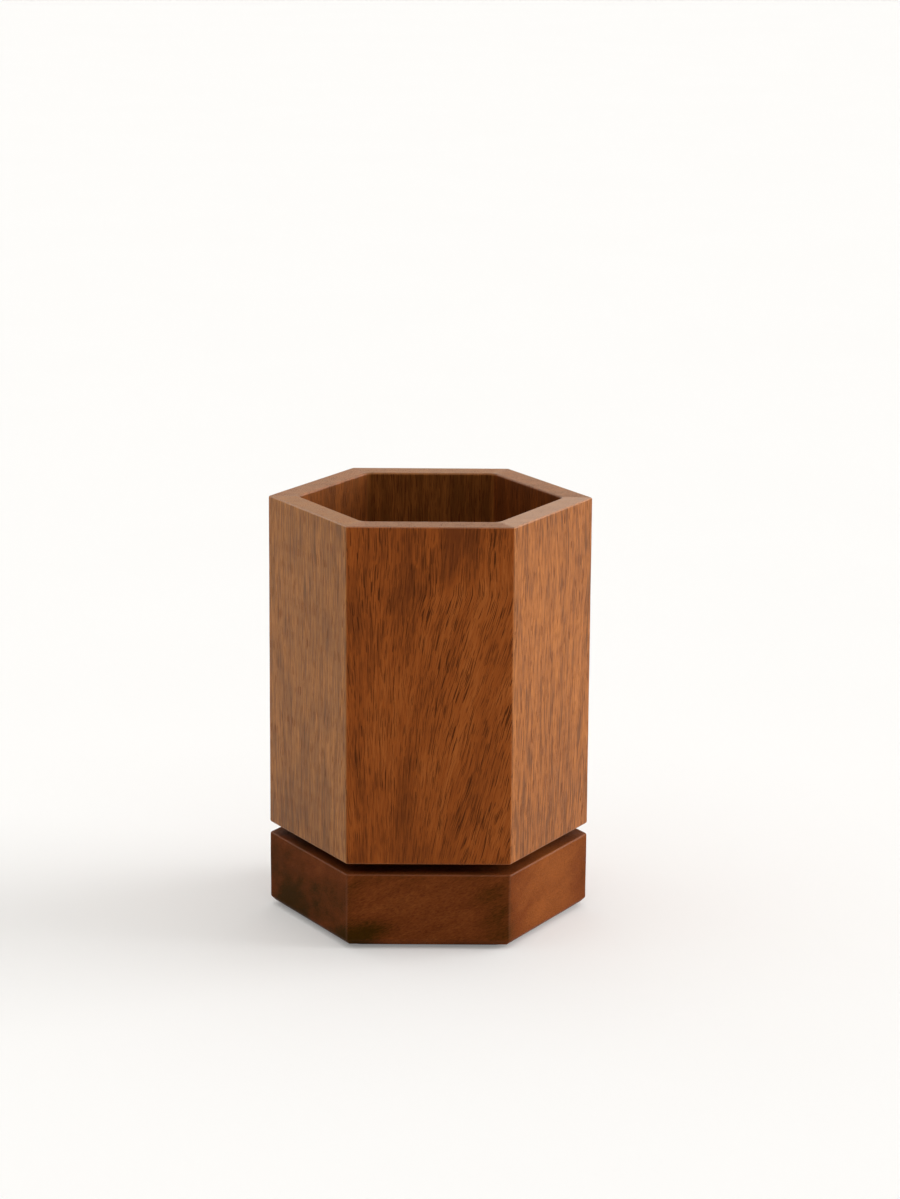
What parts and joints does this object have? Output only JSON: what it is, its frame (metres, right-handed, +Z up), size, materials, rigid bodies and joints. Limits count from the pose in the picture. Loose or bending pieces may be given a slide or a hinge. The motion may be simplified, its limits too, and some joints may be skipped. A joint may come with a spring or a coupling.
{
  "type": "rotating pen holder",
  "caption": "Six-sided wooden pen cup of mitred staves that turns freely on a matching wooden base block over a hidden ball turntable.",
  "frame": {"origin": "on the turning axis, at the underside of the foot pad, where the holder stands on the table", "axes": "+Z up along the turning axis, -Y out of the front stave, +X to the right seen from the front, through a corner of the hexagon"},
  "size_m": [0.0806, 0.07, 0.1068],
  "materials": {
    "cup_wood": "satin oiled red-brown hardwood",
    "floor_wood": "satin oiled red-brown hardwood",
    "base_wood": "satin oiled dark red-brown hardwood",
    "pad_rubber": "matt black",
    "plate_steel": "zinc plated pressed sheet",
    "rivet_steel": "zinc plated",
    "washer_nylon": "natural white",
    "cage_brass": "punched sheet",
    "ball_steel": "polished",
    "screw_steel": "zinc plated"
  },
  "bodies": {
    "base": {"base_block": "base_wood", "foot_pad": "pad_rubber", "lower_plate": "plate_steel", "base_screws": "screw_steel", "pivot_rivet": "rivet_steel", "rivet_washer": "washer_nylon"},
    "cup": {"stave_front": "cup_wood", "stave_front_right": "cup_wood", "stave_back_right": "cup_wood", "stave_back": "cup_wood", "stave_back_left": "cup_wood", "stave_front_left": "cup_wood", "cup_floor": "floor_wood", "upper_plate": "plate_steel", "cup_screws": "screw_steel"},
    "cage": {"ball_cage": "cage_brass", "bearing_balls": "ball_steel"}
  },
  "joints": [
    {"name": "cup_turn", "type": "hinge", "parent": "base", "child": "cup", "pos_m": [0, 0, 0.02105], "axis": [0, 0, 1], "continuous": true},
    {"name": "cage_turn", "type": "hinge", "parent": "base", "child": "cage", "pos_m": [0, 0, 0.02105], "axis": [0, 0, 1], "continuous": true}
  ],
  "couplings": [
    {"joint": "cage_turn", "follows": "cup_turn", "ratio": 0.5}
  ]
}
